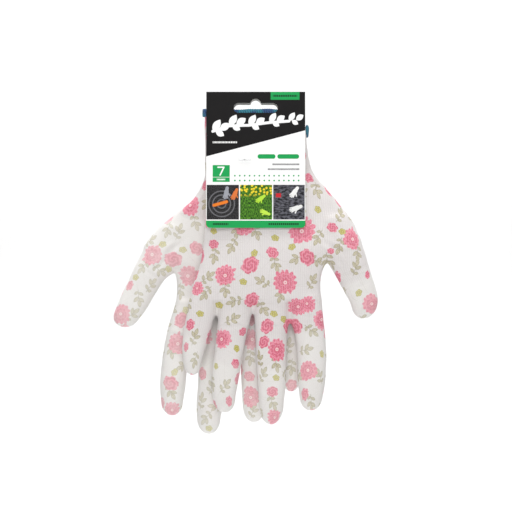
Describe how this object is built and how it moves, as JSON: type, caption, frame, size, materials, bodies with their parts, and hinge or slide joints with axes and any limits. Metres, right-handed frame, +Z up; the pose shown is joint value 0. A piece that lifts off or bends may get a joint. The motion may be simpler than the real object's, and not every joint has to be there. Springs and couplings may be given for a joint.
{
  "type": "carded pair of gardening gloves",
  "caption": "Pair of knitted gardening gloves with dipped palms, hanging from a folded header card by a nylon tag pin.",
  "frame": {"origin": "centre of the round arch of the card's hanging slot, where the peg sits, midway through the card's thickness", "axes": "+Z up along the hanging direction, +X to the right and -Y towards a person facing the card's front"},
  "size_m": [0.1882, 0.0314, 0.2489],
  "materials": {
    "card": "printed coated board",
    "pin": "clear nylon filament",
    "knit": "fine rib knit with a floral print",
    "hem": "overlocked edge",
    "coating": "satin dipped film"
  },
  "bodies": {
    "card": {"header_card": "card", "tag_pin": "pin"},
    "front_glove": {"front_hem": "hem", "front_cuff": "knit", "front_palm": "knit", "front_palm_coating": "coating"},
    "front_thumb_stall": {"front_thumb": "knit", "front_thumb_coating": "coating"},
    "front_index_stall": {"front_index": "knit", "front_index_coating": "coating"},
    "front_middle_stall": {"front_middle": "knit", "front_middle_coating": "coating"},
    "front_ring_stall": {"front_ring": "knit", "front_ring_coating": "coating"},
    "front_little_stall": {"front_little": "knit", "front_little_coating": "coating"},
    "rear_glove": {"rear_hem": "hem", "rear_cuff": "knit", "rear_palm": "knit", "rear_palm_coating": "coating"},
    "rear_thumb_stall": {"rear_thumb": "knit", "rear_thumb_coating": "coating"},
    "rear_index_stall": {"rear_index": "knit", "rear_index_coating": "coating"},
    "rear_middle_stall": {"rear_middle": "knit", "rear_middle_coating": "coating"},
    "rear_ring_stall": {"rear_ring": "knit", "rear_ring_coating": "coating"},
    "rear_little_stall": {"rear_little": "knit", "rear_little_coating": "coating"}
  },
  "joints": [
    {"name": "front_glove_swing", "type": "hinge", "parent": "card", "child": "front_glove", "pos_m": [-0.008, 0, -0.04], "axis": [0, 1, 0], "range_deg": [-8, 8]},
    {"name": "front_thumb_fold", "type": "hinge", "parent": "front_glove", "child": "front_thumb_stall", "pos_m": [0.06754, -0.0147, -0.11544], "axis": [-0.9361, 0, -0.3518], "range_deg": [0, 75]},
    {"name": "front_index_fold", "type": "hinge", "parent": "front_glove", "child": "front_index_stall", "pos_m": [0.03819, -0.0147, -0.16282], "axis": [-0.9992, 0, -0.0401], "range_deg": [0, 75]},
    {"name": "front_middle_fold", "type": "hinge", "parent": "front_glove", "child": "front_middle_stall", "pos_m": [0.0112, -0.0147, -0.16382], "axis": [-1, 0, 0], "range_deg": [0, 75]},
    {"name": "front_ring_fold", "type": "hinge", "parent": "front_glove", "child": "front_ring_stall", "pos_m": [-0.01718, -0.0147, -0.16283], "axis": [-0.9943, 0, 0.1063], "range_deg": [0, 75]},
    {"name": "front_little_fold", "type": "hinge", "parent": "front_glove", "child": "front_little_stall", "pos_m": [-0.04097, -0.0147, -0.15583], "axis": [-0.9885, 0, 0.1513], "range_deg": [0, 75]},
    {"name": "rear_glove_swing", "type": "hinge", "parent": "card", "child": "rear_glove", "pos_m": [-0.008, 0, -0.04], "axis": [0, 1, 0], "range_deg": [-8, 8]},
    {"name": "rear_thumb_fold", "type": "hinge", "parent": "rear_glove", "child": "rear_thumb_stall", "pos_m": [-0.07508, 0.0147, -0.1217], "axis": [0.8829, 0, -0.4695], "range_deg": [0, 75]},
    {"name": "rear_index_fold", "type": "hinge", "parent": "rear_glove", "child": "rear_index_stall", "pos_m": [-0.05352, 0.0147, -0.1695], "axis": [0.9898, 0, -0.1426], "range_deg": [0, 75]},
    {"name": "rear_middle_fold", "type": "hinge", "parent": "rear_glove", "child": "rear_middle_stall", "pos_m": [-0.02836, 0.0147, -0.17215], "axis": [0.9951, 0, -0.0993], "range_deg": [0, 75]},
    {"name": "rear_ring_fold", "type": "hinge", "parent": "rear_glove", "child": "rear_ring_stall", "pos_m": [-0.00002, 0.0147, -0.17211], "axis": [0.9998, 0, -0.0175], "range_deg": [0, 75]},
    {"name": "rear_little_fold", "type": "hinge", "parent": "rear_glove", "child": "rear_little_stall", "pos_m": [0.02417, 0.0147, -0.16761], "axis": [0.9992, 0, 0.0401], "range_deg": [0, 75]}
  ]
}
